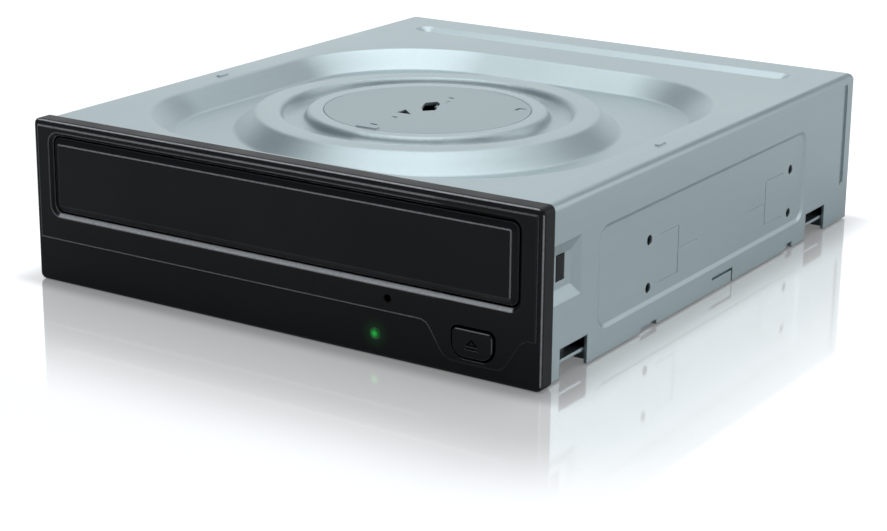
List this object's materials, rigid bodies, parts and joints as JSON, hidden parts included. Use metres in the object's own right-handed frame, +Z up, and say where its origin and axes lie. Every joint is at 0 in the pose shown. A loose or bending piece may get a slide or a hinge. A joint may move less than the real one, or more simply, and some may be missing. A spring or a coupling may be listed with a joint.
{
  "type": "internal DVD writer",
  "caption": "Half-height internal DVD writer with a pressed steel casing, black front with tray door and eject button, sliding disc tray and full loading and pickup mechanism.",
  "frame": {"origin": "under the middle of the drive's box, level with the bezel's lower edge", "axes": "+X right as seen from the front, +Y to the rear (the tray opens along -Y), +Z up"},
  "size_m": [0.148, 0.1706, 0.042],
  "materials": {
    "casing_steel": "satin zinc plating",
    "screw_steel": "satin nickel plating",
    "black_plastic": "fine spark-eroded texture",
    "light_pipe": "clear green, lit",
    "tray_plastic": "fine matt texture",
    "frame_plastic": "matt moulding",
    "gear_plastic": "natural acetal",
    "motor_steel": "drawn can",
    "belt_rubber": "ground",
    "traverse_steel": "stamped, zinc plated",
    "rod_steel": "ground and polished",
    "turntable_alloy": "turned",
    "magnet": "dark plating",
    "clamper_plastic": "matt",
    "pickup_alloy": "die cast",
    "actuator_plastic": "matt",
    "lens_glass": "coated",
    "circuit_board": "solder mask",
    "chip_black": "moulded resin",
    "capacitor_can": "drawn can",
    "socket_plastic": "moulded",
    "connector_black": "moulded",
    "diode_resin": "clear resin",
    "cable_film": "film"
  },
  "bodies": {
    "chassis": {"top_cover": "casing_steel", "clamp_plate": "casing_steel", "bottom_plate": "casing_steel", "cover_screws": "screw_steel", "bezel": "black_plastic", "led_lens": "light_pipe", "main_frame": "frame_plastic", "loader_motor": "motor_steel", "motor_screws": "screw_steel", "drive_belt": "belt_rubber", "damper_bushes": "belt_rubber", "main_board": "circuit_board", "board_chips": "chip_black", "board_capacitors": "capacitor_can", "ribbon_sockets": "socket_plastic", "board_screws": "screw_steel", "sata_connector": "connector_black", "connector_tongues": "connector_black", "front_board": "circuit_board", "eject_switch": "chip_black", "status_led": "diode_resin", "front_cable": "cable_film"},
    "tray_body": {"tray": "tray_plastic", "tray_door": "black_plastic"},
    "button": {"eject_button": "black_plastic"},
    "plunger": {"switch_plunger": "socket_plastic"},
    "loading_gear": {"tray_gear": "gear_plastic"},
    "loading_pulley": {"pulley_gear": "gear_plastic"},
    "motor_wheel": {"motor_pulley": "gear_plastic"},
    "cam": {"cam_slider": "frame_plastic"},
    "traverse": {"traverse_frame": "traverse_steel", "guide_rods": "rod_steel", "sled_motor": "motor_steel", "spindle_motor": "motor_steel"},
    "spindle": {"turntable": "turntable_alloy", "turntable_pad": "belt_rubber", "hub_magnet": "magnet"},
    "clamp": {"clamper": "clamper_plastic", "clamper_yoke": "motor_steel"},
    "pickup": {"pickup_body": "pickup_alloy", "lens_actuator": "actuator_plastic", "objective_lens": "lens_glass", "pickup_nut": "gear_plastic"},
    "sled_screw": {"lead_screw": "rod_steel"}
  },
  "joints": [
    {"name": "tray_slide", "type": "slide", "parent": "chassis", "child": "tray_body", "axis": [0, -1, 0], "range_m": [0, 0.138]},
    {"name": "eject_button_press", "type": "slide", "parent": "chassis", "child": "button", "axis": [0, 1, 0], "range_m": [0, 0.0008], "stiffness_N_per_m": 1200, "springref_m": -0.0008},
    {"name": "switch_plunger_press", "type": "slide", "parent": "chassis", "child": "plunger", "axis": [0, 1, 0], "range_m": [0, 0.0008]},
    {"name": "tray_gear_spin", "type": "hinge", "parent": "chassis", "child": "loading_gear", "pos_m": [-0.038, -0.0657, 0.019], "axis": [0, 0, 1], "range_deg": [0, 988.6]},
    {"name": "pulley_gear_spin", "type": "hinge", "parent": "chassis", "child": "loading_pulley", "pos_m": [-0.0224, -0.0657, 0.017], "axis": [0, 0, 1], "range_deg": [-3294.7, 0]},
    {"name": "motor_pulley_spin", "type": "hinge", "parent": "chassis", "child": "motor_wheel", "pos_m": [0.014, -0.0657, 0.0159], "axis": [0, 0, 1], "range_deg": [-9444.5, 0]},
    {"name": "cam_slide", "type": "slide", "parent": "chassis", "child": "cam", "axis": [-1, 0, 0], "range_m": [0, 0.02]},
    {"name": "traverse_tilt", "type": "hinge", "parent": "chassis", "child": "traverse", "pos_m": [0, 0.0643, 0.013], "axis": [1, 0, 0], "range_deg": [0, 4.2]},
    {"name": "spindle_spin", "type": "hinge", "parent": "traverse", "child": "spindle", "pos_m": [0, -0.0177, 0.024], "axis": [0, 0, 1], "continuous": true},
    {"name": "clamper_spin", "type": "hinge", "parent": "chassis", "child": "clamp", "pos_m": [0, -0.0177, 0.035], "axis": [0, 0, 1], "continuous": true},
    {"name": "pickup_slide", "type": "slide", "parent": "traverse", "child": "pickup", "axis": [0, 1, 0], "range_m": [0, 0.036]},
    {"name": "lead_screw_spin", "type": "hinge", "parent": "traverse", "child": "sled_screw", "pos_m": [0.032, 0.02, 0.015], "axis": [0, 1, 0], "range_deg": [0, 4320.2]}
  ],
  "couplings": [
    {"joint": "tray_gear_spin", "follows": "tray_slide", "rad_per_m": 125},
    {"joint": "pulley_gear_spin", "follows": "tray_slide", "rad_per_m": -416.67},
    {"joint": "motor_pulley_spin", "follows": "tray_slide", "rad_per_m": -1194.4},
    {"joint": "cam_slide", "follows": "tray_slide", "ratio": 0.14492},
    {"joint": "traverse_tilt", "follows": "tray_slide", "rad_per_m": 0.53118},
    {"joint": "clamper_spin", "follows": "spindle_spin", "ratio": 1},
    {"joint": "lead_screw_spin", "follows": "pickup_slide", "rad_per_m": 2094.4},
    {"joint": "switch_plunger_press", "follows": "eject_button_press", "ratio": 1}
  ]
}
